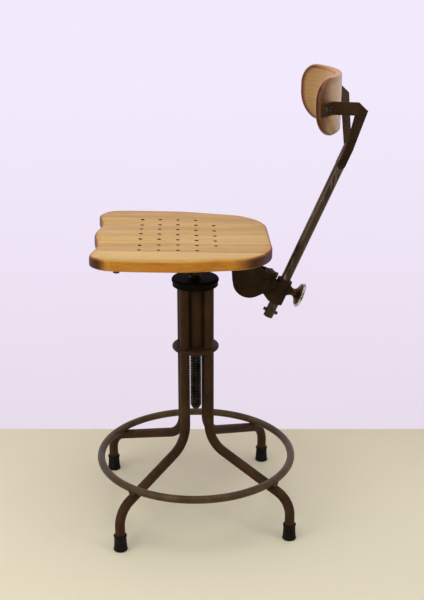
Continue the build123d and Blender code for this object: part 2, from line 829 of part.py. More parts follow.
def bearing(x):
    """Degrees from +X to that plan point, seen from the backrest's axis."""
    place = at_radius(run_r, x)
    return degrees(atan2(place[1] - rest_axis_y, place[0]))


fold_low = Vector(shoulder_x, shoulder_y, shoulder_z)
fold_high = Vector(shoulder_x, shoulder_y - shoulder_bevel, run_high)
fold_dir = (fold_high - fold_low).normalized()
fold_mid = (fold_high + fold_low) / 2
foot_top = post_ref + post_dir * strap_foot_high + Vector(foot_x, 0, 0)
leg_dir = (fold_mid - foot_top).normalized()
foot_section = Plane(origin=foot_top, x_dir=clamp_dir, z_dir=leg_dir - clamp_dir * leg_dir.dot(clamp_dir))
fold_section = Plane(origin=fold_mid, x_dir=fold_dir * -1, z_dir=leg_dir - fold_dir * leg_dir.dot(fold_dir))
foot_fold_start = foot_top - clamp_dir * (strap_foot_width / 2)
foot_low = post_ref + post_dir * strap_foot_low + Vector(foot_x - strap_half, 0, 0)

with BuildPart() as yoke_strap_left:
    with BuildSketch(Plane.XY.offset(run_low)):
        SlotArc(
            CenterArc(
                (0, rest_axis_y),
                run_r,
                bearing(strap_tip_x),
                bearing(strap_land_x) - bearing(strap_tip_x),
            ),
            strap_thick,
        )
        landing = Vector(*at_radius(run_r, strap_land_x))
        SlotCenterPoint((landing + Vector(shoulder_x, shoulder_y)) / 2, landing, strap_thick)
    extrude(amount=run_high - run_low)
    with BuildSketch(side_plane):
        with BuildLine():
            Polyline(
                (rest_axis_y, run_low),
                (shoulder_y - shoulder_bevel, run_low),
                (shoulder_y, shoulder_z),
                (shoulder_y - shoulder_bevel, run_high),
                (rest_axis_y, run_high),
                close=True,
            )
        make_face()
    extrude(amount=rest_r, mode=Mode.INTERSECT)
    with BuildSketch(foot_section):
        Rectangle(strap_foot_width, strap_thick)
    with BuildSketch(fold_section):
        Rectangle((fold_high - fold_low).length, strap_thick)
    loft()
    with BuildSketch(Plane(origin=fold_low, z_dir=fold_dir)):
        Circle(strap_half - seat_gap)
    extrude(amount=(fold_high - fold_low).length)
    with BuildSketch(Plane(origin=foot_fold_start, z_dir=clamp_dir)):
        Circle(strap_half - seat_gap)
    extrude(amount=strap_foot_width)
    with BuildSketch(Plane(origin=foot_low, x_dir=post_dir, z_dir=(1, 0, 0))):
        Circle(strap_foot_width / 2)
        with Locations(((strap_foot_high - strap_foot_low) / 2, 0)):
            Rectangle(strap_foot_high - strap_foot_low, strap_foot_width)
    extrude(amount=strap_thick)
    with BuildSketch(Plane.YZ):
        for s in rivet_places:
            place = post_ref + post_dir * s
            with Locations((place.Y, place.Z)):
                Circle(rivet_r + seat_gap)
    extrude(amount=2 * foot_x, mode=Mode.SUBTRACT)
    for x in rest_screw_x:
        outward = Vector(x, at_radius(run_r, x)[1] - rest_axis_y).normalized()
        with BuildSketch(Plane(origin=Vector(0, rest_axis_y, strap_z) + outward * rest_r, z_dir=outward)):
            Circle(rest_screw_r + seat_gap)
        extrude(amount=2 * strap_thick, mode=Mode.SUBTRACT)
save(yoke_strap_left, "yoke_strap_left")

with BuildPart() as yoke_strap_right:
    mirror(yoke_strap_left.part, about=Plane.YZ)
save(yoke_strap_right, "yoke_strap_right")

with BuildPart() as yoke_rivets:
    for s in rivet_places:
        place = post_ref + post_dir * s
        rivet_half = foot_x + strap_half + seat_gap
        with BuildSketch(Plane.YZ):
            with Locations((place.Y, place.Z)):
                Circle(rivet_r)
        extrude(amount=rivet_half, both=True)
        for side in (1, -1):
            with BuildSketch(Plane.YZ.offset(side * rivet_half)):
                with Locations((place.Y, place.Z)):
                    Circle(rivet_head_r)
            extrude(amount=side * rivet_head, taper=head_slope)
save(yoke_rivets, "yoke_rivets")

# ==== Backrest =================================================================
screw_root_r = rest_r + seat_gap + strap_thick + seat_gap
with BuildPart() as backrest_board:
    with BuildSketch(Plane.XY.offset(rest_low_z)):
        with BuildLine():
            outer = CenterArc((0, rest_axis_y), rest_r, 90 - rest_span, 2 * rest_span)
            inner = CenterArc((0, rest_axis_y), rest_r - rest_thick, 90 - rest_span, 2 * rest_span)
            Line(outer @ 0, inner @ 0)
            Line(outer @ 1, inner @ 1)
        make_face()
    extrude(amount=rest_high_z - rest_low_z)
    across_ends = backrest_board.edges().filter_by(GeomType.LINE).filter_by(Axis.Z, reverse=True)
    fillet(across_ends.group_by(Axis.Z)[-1], rest_top_corner_r)
    across_ends = backrest_board.edges().filter_by(GeomType.LINE).filter_by(Axis.Z, reverse=True)
    fillet(across_ends.group_by(Axis.Z)[0], rest_low_corner_r)
    fillet(backrest_board.edges(), rest_round)
    for x in rest_screw_x:
        for side in (1, -1):
            outward = Vector(side * x, at_radius(run_r, x)[1] - rest_axis_y).normalized()
            root = Vector(0, rest_axis_y, strap_z) + outward * (rest_r - rest_screw_depth)
            with BuildSketch(Plane(origin=root, z_dir=outward)):
                Circle(rest_screw_r + seat_gap)
            extrude(amount=2 * rest_screw_depth, mode=Mode.SUBTRACT)
save(backrest_board, "backrest_board")

with BuildPart() as backrest_screws:
    for x in rest_screw_x:
        for side in (1, -1):
            outward = Vector(side * x, at_radius(run_r, x)[1] - rest_axis_y).normalized()
            seat = Vector(0, rest_axis_y, strap_z) + outward * screw_root_r
            with BuildSketch(Plane(origin=seat, z_dir=outward)):
                Circle(rest_screw_head_r)
            extrude(amount=rest_screw_head, taper=head_slope)
            with BuildSketch(Plane(origin=seat, z_dir=outward)):
                Circle(rest_screw_r)
            extrude(amount=-strap_thick - rest_screw_depth)
save(backrest_screws, "backrest_screws")
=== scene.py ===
# %% [markdown]
# # A draughtsman's chair
# A tall work chair of bent tube and pierced wood. The chair's working parts come measured,
# with their joints, as a fixed frame. Here we give each of them the surface that it has on
# a real chair, and model afresh the few whose shape is too soft or too fine for a plain
# solid: the two wooden boards, the cut thread, the castings, the folded straps, the rubber
# boots and the knob. A copy of the back spring gets a mesh of its own.

# %% Load the frame
import json
import math

import bpy
from mathutils import Matrix, Vector


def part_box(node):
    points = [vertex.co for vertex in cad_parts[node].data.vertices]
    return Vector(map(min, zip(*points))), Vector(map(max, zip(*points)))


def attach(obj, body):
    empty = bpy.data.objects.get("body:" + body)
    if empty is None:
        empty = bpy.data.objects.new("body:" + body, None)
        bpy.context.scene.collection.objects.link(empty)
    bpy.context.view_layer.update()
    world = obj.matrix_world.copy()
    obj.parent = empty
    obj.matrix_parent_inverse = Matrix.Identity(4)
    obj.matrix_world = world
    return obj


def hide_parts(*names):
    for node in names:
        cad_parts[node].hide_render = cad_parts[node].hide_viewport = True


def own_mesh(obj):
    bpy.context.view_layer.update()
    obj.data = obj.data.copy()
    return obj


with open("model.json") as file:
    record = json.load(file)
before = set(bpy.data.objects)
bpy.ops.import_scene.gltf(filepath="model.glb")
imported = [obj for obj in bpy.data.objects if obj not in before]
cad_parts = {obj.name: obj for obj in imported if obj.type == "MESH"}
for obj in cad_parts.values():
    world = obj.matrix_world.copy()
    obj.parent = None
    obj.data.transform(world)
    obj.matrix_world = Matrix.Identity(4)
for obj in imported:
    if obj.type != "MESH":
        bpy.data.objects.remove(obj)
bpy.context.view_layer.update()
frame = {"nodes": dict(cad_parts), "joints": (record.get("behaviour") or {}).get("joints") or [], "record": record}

# %% [markdown]
# ## Camera
# The camera comes first, so that every later choice can be judged through it. It stands
# to the chair's left, a little higher than its back, and looks slightly down. A long lens
# keeps the verticals calm.

# %% Camera
camera_data = bpy.data.cameras.new("camera")
camera_data.sensor_fit = "VERTICAL"
camera_data.sensor_height = 36.0
camera_data.sensor_width = 36.0
camera_data.lens = 64.17
camera = bpy.data.objects.new("camera", camera_data)
bpy.context.scene.collection.objects.link(camera)
camera.location = (2.282, -0.028, 1.3153)
looking_down = math.radians(19.33)
heading = math.radians(1.65)
level = math.cos(looking_down)
gaze = Vector((-level * math.cos(heading), level * math.sin(heading), -math.sin(looking_down)))
camera.rotation_mode = "QUATERNION"
camera.rotation_quaternion = gaze.to_track_quat("-Z", "Y")
bpy.context.scene.camera = camera
print("camera at", [round(v, 3) for v in camera.location])

# %% [markdown]
# ## Room
# The floor is one big pale panel, and the wall a second one that stands on it behind the
# chair. Both are plain, so that nothing competes with the chair. A few helpers come first,
# because every material here is a graph of nodes joined by wires, and a helper saves
# writing each out.


# %% Helpers for objects and nodes
def link(mesh, name):
    """A new object for a mesh, put in the scene."""
    made = bpy.data.objects.new(name, mesh)
    bpy.context.scene.collection.objects.link(made)
    return made


def node(tree, kind, values=None, **settings):
    """Adds a node, sets its properties and its input values by socket name or number."""
    made = tree.nodes.new(kind)
    for key, value in settings.items():
        setattr(made, key, value)
    for key, value in (values or {}).items():
        made.inputs[key].default_value = value
    return made


def wire(tree, *pairs):
    """Joins (node, output) to (node, input) for each pair given."""
    for (source, out), (target, into) in pairs:
        tree.links.new(source.outputs[out], target.inputs[into])


def maths(tree, operation, *inputs, clamp=False):
    """A Math node whose inputs are, in order, numbers or (node, output) pairs."""
    made = node(tree, "ShaderNodeMath", operation=operation, use_clamp=clamp)
    for into, value in enumerate(inputs):
        if isinstance(value, tuple):
            wire(tree, (value, (made, into)))
        else:
            made.inputs[into].default_value = value
    return made


def ramp(tree, factor, *stops):
    """A colour ramp through (place, colour) stops, read at a (node, output) factor."""
    made = tree.nodes.new("ShaderNodeValToRGB")
    elements = made.color_ramp.elements
    while len(elements) < len(stops):
        elements.new(0.5)
    for element, (place, colour) in zip(elements, stops):
        element.position = place
        element.color = (*colour, 1.0)
    wire(tree, (factor, (made, "Fac")))
    return made


def principled(name, **sockets):
    """A new material with its shader's own sockets set; returns it, its tree and the shader."""
    material = bpy.data.materials.new(name)
    material.use_nodes = True
    shader = material.node_tree.nodes["Principled BSDF"]
    for key, value in sockets.items():
        shader.inputs[key.replace("_", " ")].default_value = value
    return material, material.node_tree, shader


print("helpers: link, node, wire, maths, ramp, principled")


# %% Stage panel
def stage_panel(name, corners, low_colour, high_colour, own_light):
    """A flat matt panel whose colour drifts with height. With its own light, it shows that
    colour unshaded to the camera and in reflections. It is clear from behind, so that the
    chair can be looked at from the back and from below."""
    mesh = bpy.data.meshes.new(name)
    mesh.from_pydata(corners, [], [(0, 1, 2, 3)])
    panel = link(mesh, name)
    material, tree, shader = principled(name, Roughness=0.8, Specular_IOR_Level=0.15)
    place = node(tree, "ShaderNodeTexCoord")
    split = node(tree, "ShaderNodeSeparateXYZ")
    mottle = node(tree, "ShaderNodeTexNoise", {"Scale": 2.2, "Detail": 4.0})
    mottling = 0.12
    wire(tree, ((place, "Object"), (split, "Vector")), ((place, "Object"), (mottle, "Vector")))
    drift = maths(tree, "MULTIPLY_ADD", (mottle, "Fac"), mottling, (split, "Z"))
    tint = ramp(tree, (drift, "Value"), (0.0, low_colour), (1.0, high_colour))
    wire(tree, ((tint, "Color"), (shader, "Base Color")))
    front = (shader, "BSDF")
    if own_light:
        glow = node(tree, "ShaderNodeEmission", {"Strength": 1.0})
        ray = node(tree, "ShaderNodeLightPath")
        mix = node(tree, "ShaderNodeMixShader")
        seen = maths(tree, "MAXIMUM", (ray, "Is Camera Ray"), (ray, "Is Glossy Ray"))
        seen = maths(tree, "MAXIMUM", (seen, "Value"), (ray, "Is Transmission Ray"))
        wire(
            tree,
            ((tint, "Color"), (glow, "Color")),
            ((seen, "Value"), (mix, "Fac")),
            (front, (mix, 1)),
            ((glow, "Emission"), (mix, 2)),
        )
        front = (mix, "Shader")
    side = node(tree, "ShaderNodeNewGeometry")
    clear = node(tree, "ShaderNodeBsdfTransparent")
    one_sided = node(tree, "ShaderNodeMixShader")
    wire(
        tree,
        ((side, "Backfacing"), (one_sided, "Fac")),
        (front, (one_sided, 1)),
        ((clear, "BSDF"), (one_sided, 2)),
        ((one_sided, "Shader"), (tree.nodes["Material Output"], "Surface")),
    )
    mesh.materials.append(material)


print("helper: stage_panel")

# %% Floor and wall
wall_distance = 2.672
wall_height = 4.0
room_half = 5.0
floor_colour = (0.665, 0.64, 0.475)
wall_low, wall_high = (0.80, 0.71, 0.82), (0.89, 0.82, 0.98)
ahead = Vector((gaze.x, gaze.y, 0.0)).normalized()
aside = Vector((-ahead.y, ahead.x, 0.0))
wall_foot = Vector((camera.location.x, camera.location.y, 0.0)) + ahead * wall_distance


def line_across(place):
    """The left and right ends of a line across the room, through a place on the floor."""
    return place + aside * room_half, place - aside * room_half


near_left, near_right = line_across(wall_foot - ahead * 2 * room_half)
far_left, far_right = line_across(wall_foot + ahead * room_half)
wall_left, wall_right = line_across(wall_foot)
up = Vector((0.0, 0.0, wall_height))
floor_corners = [far_left, near_left, near_right, far_right]
wall_corners = [wall_left, wall_right, wall_right + up, wall_left + up]
stage_panel("floor", floor_corners, floor_colour, floor_colour, own_light=False)
stage_panel("wall", wall_corners, wall_low, wall_high, own_light=True)
print("wall foot at", [round(v, 3) for v in wall_foot])

# %% [markdown]
# ## Light
# Large area lamps stand in for windows: a broad light gives the tubes a long, soft
# highlight, where a small lamp or the sun would give a hard white thread. One hangs
# overhead, the largest stands in front to one side, and a weak one fills the shade from
# behind. The world adds a low, even glow so that no shadow goes black.

# %% Lamps
chair_middle = Vector((0.0, 0.0, 0.55))


def lamp(name, place, size, watts, colour):
    """A rectangular area lamp that points at the middle of the chair."""
    data = bpy.data.lights.new(name, "AREA")
    data.shape = "RECTANGLE"
    data.size, data.size_y = size
    data.energy = watts
    data.color = colour
    made = link(data, name)
    made.location = place
    made.rotation_mode = "QUATERNION"
    made.rotation_quaternion = (chair_middle - Vector(place)).to_track_quat("-Z", "Y")


lamp("overhead", (0.3, 0.1, 2.9), size=(2.2, 2.2), watts=38, colour=(1.0, 0.97, 0.92))
lamp("window", (1.9, -2.2, 1.9), size=(2.8, 2.4), watts=52, colour=(1.0, 0.97, 0.93))
lamp("rear_fill", (1.4, 2.3, 1.5), size=(1.2, 1.4), watts=12, colour=(0.95, 0.93, 1.0))

# %% World
world = bpy.data.worlds.new("world")
world.use_nodes = True
tree = world.node_tree
sky = tree.nodes["Background"]
sky.inputs["Color"].default_value = (0.92, 0.89, 0.94, 1.0)
sky.inputs["Strength"].default_value = 0.45
# Gloss meets a dim brown room in place of the sky, so that dark enamel stays dark.
dim_room = {"Color": (0.20, 0.17, 0.14, 1.0), "Strength": 0.6}
mirrored = node(tree, "ShaderNodeBackground", dim_room)
ray = node(tree, "ShaderNodeLightPath")
mix = node(tree, "ShaderNodeMixShader")
wire(
    tree,
    ((ray, "Is Glossy Ray"), (mix, "Fac")),
    ((sky, "Background"), (mix, 1)),
    ((mirrored, "Background"), (mix, 2)),
    ((mix, "Shader"), (tree.nodes["World Output"], "Surface")),
)
bpy.context.scene.world = world
bpy.context.scene.view_settings.view_transform = "Standard"
print("world nodes:", len(tree.nodes))

# %% [markdown]
# ## Finishes
# Every finish is made of nodes in object coordinates, so its grain and wear are in metres
# and stay with the piece as it moves. Values that are the same all over sit on the
# shader's own sockets. What varies, which is colour, roughness and fine relief, comes from
# noise at the size that the real thing shows. Painted images would do as well, but they
# would have to be unwrapped onto each piece and would blur close up.


# %% Coordinates, noise and relief
def stretched(tree, scale=(1.0, 1.0, 1.0), turn=(0.0, 0.0, 0.0)):
    """Object coordinates turned and scaled, for a pattern that may run one way."""
    place = node(tree, "ShaderNodeTexCoord")
    mapping = node(tree, "ShaderNodeMapping", {"Rotation": turn, "Scale": scale})
    wire(tree, ((place, "Object"), (mapping, "Vector")))
    return mapping


def noise_on(tree, place, scale, detail, roughness):
    """Cloudy noise at a scale in waves per metre."""
    look = {"Scale": scale, "Detail": detail, "Roughness": roughness}
    made = node(tree, "ShaderNodeTexNoise", look)
    wire(tree, ((place, "Vector"), (made, "Vector")))
    return made


def uneven_gloss(tree, shader, noise, smooth, rough):
    """Roughness that follows a noise from one value to another."""
    gloss = node(tree, "ShaderNodeMapRange", {"To Min": smooth, "To Max": rough})
    wire(tree, ((noise, "Fac"), (gloss, "Value")), ((gloss, "Result"), (shader, "Roughness")))


def relief(tree, shader, noise, strength, distance):
    """Fine relief that only bends the light; larger shapes are in the meshes."""
    bump = node(tree, "ShaderNodeBump", {"Strength": strength, "Distance": distance})
    wire(tree, ((noise, "Fac"), (bump, "Height")), ((bump, "Normal"), (shader, "Normal")))


print("helpers: stretched, noise_on, uneven_gloss, relief")

# %% Colours mixed and stained
MIX_SHARE, MIX_FIRST, MIX_SECOND, MIXED = 0, 6, 7, 2  # a Mix node's sockets for colours


def grey(value):
    """The same amount of red, green and blue."""
    return (value, value, value)


def mix_ramps(tree, share, first, second):
    """One ramp's colour giving way to another's as a third turns from black to white."""
    made = node(tree, "ShaderNodeMix", data_type="RGBA")
    wire(
        tree,
        ((share, "Color"), (made, MIX_SHARE)),
        ((first, "Color"), (made, MIX_FIRST)),
        ((second, "Color"), (made, MIX_SECOND)),
    )
    return made


def stained(tree, colour, stain):
    """A (node, output) colour darkened by a ramp, as a glaze darkens what is under it."""
    made = node(tree, "ShaderNodeMix", {MIX_SHARE: 1.0}, data_type="RGBA", blend_type="MULTIPLY")
    wire(tree, (colour, (made, MIX_FIRST)), ((stain, "Color"), (made, MIX_SECOND)))
    return made, MIXED


print("helpers: grey, mix_ramps, stained")

# %% [markdown]
# ### Enamel over steel
# The frame was dipped and baked in a chocolate-brown enamel. Decades of hands and shoes
# have dulled it in clouds, rubbed it towards grey metal in small patches and left fine
# pits. So the enamel has three layers: a cloudy brown, a rubbed tone where a coarse noise
# peaks, and fine specks. One function makes them all, and a table gives each its tones.


# %% Enamel
def enamel(name, dark, light, rubbed, wear, roughness, sheen, **streak):
    """Baked enamel; wear is the share of it that is rubbed towards bare metal. A streak is
    the scale and the turn of a pattern that runs one way."""
    warm = (1.0, 0.80, 0.58, 1.0)
    bare_metallic = 0.55  # old enamel still clouds the metal where it is rubbed through
    material, tree, shader = principled(name, Specular_IOR_Level=sheen, Specular_Tint=warm)
    place = stretched(tree, **streak)
    clouds = noise_on(tree, place, scale=22.0, detail=6.0, roughness=0.6)
    patches = noise_on(tree, place, scale=60.0, detail=8.0, roughness=0.68)
    specks = noise_on(tree, place, scale=420.0, detail=3.0, roughness=0.5)
    body = ramp(tree, (clouds, "Fac"), (0.32, dark), (0.68, light))
    bare = ramp(tree, (clouds, "Fac"), (0.0, rubbed), (1.0, tuple(1.25 * c for c in rubbed)))
    wear_start, wear_full = 1.0 - wear - 0.12, 1.0 - wear + 0.06
    worn = ramp(tree, (patches, "Fac"), (wear_start, grey(0.0)), (wear_full, grey(1.0)))
    colour = mix_ramps(tree, worn, body, bare)
    metal = maths(tree, "MULTIPLY", (worn, "Color"), bare_metallic)
    wire(tree, ((colour, MIXED), (shader, "Base Color")), ((metal, "Value"), (shader, "Metallic")))
    uneven_gloss(tree, shader, clouds, smooth=roughness - 0.1, rough=roughness + 0.16)
    relief(tree, shader, specks, strength=0.25, distance=0.0004)
    return material


# %% The six enamels
enamel_columns = ("dark", "light", "rubbed", "wear", "roughness", "sheen")
enamel_rows = {
    "brown_enamel": (
        (0.021, 0.0105, 0.0045), (0.053, 0.026, 0.011), (0.11, 0.065, 0.032), 0.20, 0.46, 0.11,
    ),
    "ring_enamel": (
        (0.034, 0.020, 0.008), (0.080, 0.052, 0.024), (0.18, 0.13, 0.075), 0.26, 0.38, 0.32,
    ),
    "cast_enamel": (
        (0.010, 0.006, 0.003), (0.036, 0.019, 0.008), (0.07, 0.038, 0.016), 0.20, 0.56, 0.08,
    ),
    # dark_enamel is painted shade: the upper collar is enamelled brown like the lower one, and is made near black
    # for the shade under the seat.
    "dark_enamel": (
        (0.002, 0.0018, 0.0012), (0.005, 0.004, 0.0028), (0.016, 0.012, 0.008), 0.16, 0.55, 0.03,
    ),
    "spider_paint": (
        (0.008, 0.005, 0.003), (0.020, 0.012, 0.008), (0.05, 0.035, 0.025), 0.20, 0.55, 0.12,
    ),
    "post_enamel": (
        (0.010, 0.005, 0.003), (0.055, 0.028, 0.018), (0.26, 0.20, 0.17), 0.32, 0.28, 0.45,
    ),
}
# The post is rubbed in streaks along its length as it slides, and it leans back.
post_lean = math.radians(23.5)
streaks = {"post_enamel": {"scale": (1.0, 1.0, 0.10), "turn": (post_lean, 0.0, 0.0)}}
finishes = {}
for name, row in enamel_rows.items():
    finishes[name] = enamel(name, **dict(zip(enamel_columns, row)), **streaks.get(name, {}))
print("enamels:", list(finishes))

# %% [markdown]
# ### Bare metals
# Turned and drawn metal is never one grey. Faint lines break up its gloss, and oil and
# dust settle in clouds. One function serves steel, brass and nickel, with their own tints.
# The screws and pins get a dark, brownish steel.


# %% Metals
def bare_metal(name, dull, bright, roughness):
    """Metal in clouds between two tones, with fine lines in its surface."""
    material, tree, shader = principled(name, Metallic=1.0)
    place = stretched(tree)
    clouds = noise_on(tree, place, scale=45.0, detail=7.0, roughness=0.6)
    lines = noise_on(tree, place, scale=700.0, detail=2.0, roughness=0.5)
    tone = ramp(tree, (clouds, "Fac"), (0.35, dull), (0.62, bright))
    wire(tree, ((tone, "Color"), (shader, "Base Color")))
    uneven_gloss(tree, shader, clouds, smooth=roughness, rough=roughness + 0.22)
    relief(tree, shader, lines, strength=0.15, distance=0.0002)
    return material


metal_columns = ("dull", "bright", "roughness")
metal_rows = {
    "bare_steel": ((0.028, 0.022, 0.016), (0.10, 0.084, 0.066), 0.40),
    "zinc_steel": ((0.05, 0.042, 0.034), (0.17, 0.15, 0.12), 0.40),
    "oiled_steel": ((0.018, 0.016, 0.015), (0.075, 0.066, 0.060), 0.34),
    "spring_steel": ((0.06, 0.055, 0.05), (0.20, 0.19, 0.18), 0.34),
    "brass": ((0.42, 0.27, 0.10), (0.80, 0.58, 0.27), 0.26),
    "knob_brass": ((0.030, 0.015, 0.006), (0.20, 0.11, 0.042), 0.34),
    "nickel": ((0.30, 0.27, 0.23), (0.86, 0.84, 0.80), 0.14),
}
for name, row in metal_rows.items():
    finishes[name] = bare_metal(name, **dict(zip(metal_columns, row)))
print("metals:", list(metal_rows))

# %% [markdown]
# ### Rubber and shaded holes
# The boots are moulded black rubber, matt, with floor dust worked into them from below.
# The walls of the vents in the seat get a finish of their own, nearly black and quite dull:
# this is painted shade for the inside of the holes.

# %% Rubber
rubber, tree, shader = principled("black_rubber", Specular_IOR_Level=0.12)
dust = noise_on(tree, stretched(tree), scale=90.0, detail=6.0, roughness=0.6)
clean, dusty = (0.004, 0.0035, 0.0025), (0.020, 0.017, 0.011)
tone = ramp(tree, (dust, "Fac"), (0.45, clean), (0.80, dusty))
wire(tree, ((tone, "Color"), (shader, "Base Color")))
uneven_gloss(tree, shader, dust, smooth=0.45, rough=0.75)
relief(tree, shader, dust, strength=0.2, distance=0.0004)
finishes["black_rubber"] = rubber
print("rubber nodes:", len(tree.nodes))

# %% Vent walls
# Painted shade: the vent walls are made nearly black for the shade inside the holes.
vent_wall, tree, shader = principled("vent_wall", Roughness=0.9, Specular_IOR_Level=0.1)
hole_shade = noise_on(tree, stretched(tree), scale=300.0, detail=3.0, roughness=0.6)
black, brown = (0.010, 0.004, 0.002), (0.035, 0.015, 0.006)
tone = ramp(tree, (hole_shade, "Fac"), (0.3, black), (0.8, brown))
wire(tree, ((tone, "Color"), (shader, "Base Color")))
finishes["vent_wall"] = vent_wall
print("vent wall nodes:", len(tree.nodes))

# %% [markdown]
# ### Lacquered wood
# Both boards are hardwood under old, yellowed lacquer. The grain is noise drawn out along
# the board, in three sizes: broad flames, fine growth lines and short dark pores. The seat
# is glued up from staves, and each stave takes its own shade. Round the edges the lacquer
# is thicker and the wood darker with handling, so each board carries a number called
# `rim`, one at the edge and nothing inside, which darkens it there. Where the board is cut
# across the grain, the open end has soaked up more and is darker still.


# %% Wood
def lacquered(
    name, pale, honey, amber, edge, burnt, along, across, stave, smooth, coat, grain_axis
):
    """along and across are the attributes that run with and against the grain, in metres.
    grain_axis is the axis whose way the grain runs, so faces square to it show end grain."""
    stave_share, flame_share = 0.30, 0.72  # how far each of them sways the tone
    stave_slide = 7.0  # how far apart along the noise two staves can start
    blotchiness = 0.9  # how unevenly the handled band spreads inwards
    lacquer = {"Specular_IOR_Level": 0.22, "Coat_Weight": coat, "Coat_Roughness": 0.22}
    material, tree, shader = principled(name, **lacquer)
    length, breadth, depth, rim = (
        node(tree, "ShaderNodeAttribute", attribute_name=measure)
        for measure in (along, across, "depth", "rim")
    )
    number = maths(tree, "FLOOR", (maths(tree, "DIVIDE", (breadth, "Fac"), stave), "Value"))
    shade = node(tree, "ShaderNodeTexWhiteNoise", noise_dimensions="1D")
    wire(tree, ((number, "Value"), (shade, "W")))

    def grain(lengthwise, crosswise, detail, warp):
        """Noise drawn out along the board; its place along each stave is the stave's own."""
        look = {"Scale": 1.0, "Detail": detail, "Roughness": 0.6, "Distortion": warp}
        made = node(tree, "ShaderNodeTexNoise", look)
        vector = node(tree, "ShaderNodeCombineXYZ")
        run = maths(tree, "MULTIPLY", (length, "Fac"), lengthwise)
        slid = maths(tree, "MULTIPLY_ADD", (shade, "Value"), stave_slide, (run, "Value"))
        wire(
            tree,
            ((maths(tree, "MULTIPLY", (breadth, "Fac"), crosswise), "Value"), (vector, "X")),
            ((slid, "Value"), (vector, "Y")),
            ((maths(tree, "MULTIPLY", (depth, "Fac"), crosswise), "Value"), (vector, "Z")),
            ((vector, "Vector"), (made, "Vector")),
        )
        return made

    flames = grain(lengthwise=1.6, crosswise=22.0, detail=4.0, warp=0.6)
    lines = grain(lengthwise=3.0, crosswise=260.0, detail=4.0, warp=0.2)
    pores = grain(lengthwise=24.0, crosswise=900.0, detail=2.0, warp=0.0)
    blotch = grain(lengthwise=14.0, crosswise=14.0, detail=4.0, warp=0.0)

    stave_tone = maths(tree, "MULTIPLY", (shade, "Value"), stave_share)
    tone = maths(tree, "MULTIPLY_ADD", (flames, "Fac"), flame_share, (stave_tone, "Value"))
    base = ramp(tree, (tone, "Value"), (0.30, amber), (0.50, honey), (0.70, pale))
    line_stain = ramp(tree, (lines, "Fac"), (0.35, grey(0.80)), (0.60, grey(1.0)))
    pore_stain = ramp(tree, (pores, "Fac"), (0.30, grey(0.62)), (0.42, grey(1.0)))

    uneven = maths(tree, "MULTIPLY_ADD", (blotch, "Fac"), blotchiness, -blotchiness / 2)
    handled = maths(tree, "ADD", (rim, "Fac"), (uneven, "Value"), clamp=True)
    edge_twice = tuple(c * c for c in edge)
    edge_stain = ramp(tree, (handled, "Value"), (0.25, grey(1.0)), (0.70, edge), (1.0, edge_twice))

    facing = node(tree, "ShaderNodeTexCoord")
    ways = node(tree, "ShaderNodeSeparateXYZ")
    wire(tree, ((facing, "Normal"), (ways, "Vector")))
    square = maths(tree, "ABSOLUTE", (ways, grain_axis))
    turned = {"From Min": 0.10, "From Max": 0.62}
    open_end = node(tree, "ShaderNodeMapRange", turned, interpolation_type="SMOOTHSTEP")
    wire(tree, ((square, "Value"), (open_end, "Value")))
    soaked = maths(tree, "MULTIPLY", (open_end, "Result"), (rim, "Fac"))
    end_stain = ramp(tree, (soaked, "Value"), (0.0, grey(1.0)), (1.0, burnt))

    colour = (base, "Color")
    for stain in (line_stain, pore_stain, edge_stain, end_stain):
        colour = stained(tree, colour, stain)
    wire(tree, (colour, (shader, "Base Color")))
    uneven_gloss(tree, shader, blotch, smooth=smooth, rough=smooth + 0.22)
    relief(tree, shader, pores, strength=0.12, distance=0.0003)
    return material


# %% The two woods
finishes["seat_wood"] = lacquered(
    "seat_wood",
    pale=(0.57, 0.38, 0.125),
    honey=(0.51, 0.32, 0.085),
    amber=(0.40, 0.215, 0.045),
    edge=(1.0, 0.78, 0.42),
    burnt=(0.12, 0.05, 0.028),
    along="run",
    across="breadth",
    stave=0.067,
    smooth=0.38,
    coat=0.12,
    grain_axis="Y",
)
finishes["back_wood"] = lacquered(
    "back_wood",
    pale=(0.57, 0.365, 0.125),
    honey=(0.48, 0.27, 0.078),
    amber=(0.36, 0.17, 0.036),
    edge=(0.90, 0.76, 0.54),
    burnt=(0.16, 0.06, 0.018),
    along="breadth",
    across="run",
    stave=0.30,
    smooth=0.26,
    coat=0.25,
    grain_axis="X",
)
print("finishes in all:", len(finishes))

# %% [markdown]
# ## Dress the frame
# Parts whose solids already have the right shape keep them. We only swap in the finish
# that the frame's record names for each one.

# %% Finishes on the frame's own parts
slot_of = {row["node"]: row["material_slot"] for row in frame["record"]["subparts"]}
for name, part in frame["nodes"].items():
    for slot in part.material_slots:
        slot.material = finishes[slot_of[name]]
print("dressed:", len(slot_of))

# %% [markdown]
# ## Shaping helpers
# Three ways of making a mesh cover the whole chair. A lathe turns a profile about an axis,
# for boots, vents and the knob. A board is a stack of closed outlines with a rounded edge,
# bent or dished afterwards. A softened copy takes a hard-edged solid and rounds its
# corners, as a casting or a folded strap has them.


# %% Piece
def finish_piece(made, body, angle):
    """Lets a mesh ride on a body; edges sharper than the angle, in degrees, stay crisp."""
    bpy.ops.object.select_all(action="DESELECT")
    made.select_set(True)
    bpy.context.view_layer.objects.active = made
    bpy.ops.object.shade_smooth_by_angle(angle=math.radians(angle))
    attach(made, body)


def paint(made, slot):
    """Gives the whole of a mesh the finish of a slot."""
    made.data.materials.clear()
    made.data.materials.append(finishes[slot])


def piece(name, verts, faces, body, slot, angle):
    """A mesh from its points and faces, with its finish, riding on a body."""
    mesh = bpy.data.meshes.new(name)
    mesh.from_pydata([tuple(v) for v in verts], [], faces)
    mesh.validate()
    made = link(mesh, name)
    paint(made, slot)
    finish_piece(made, body, angle)
    return made


print("helpers: finish_piece, paint, piece")


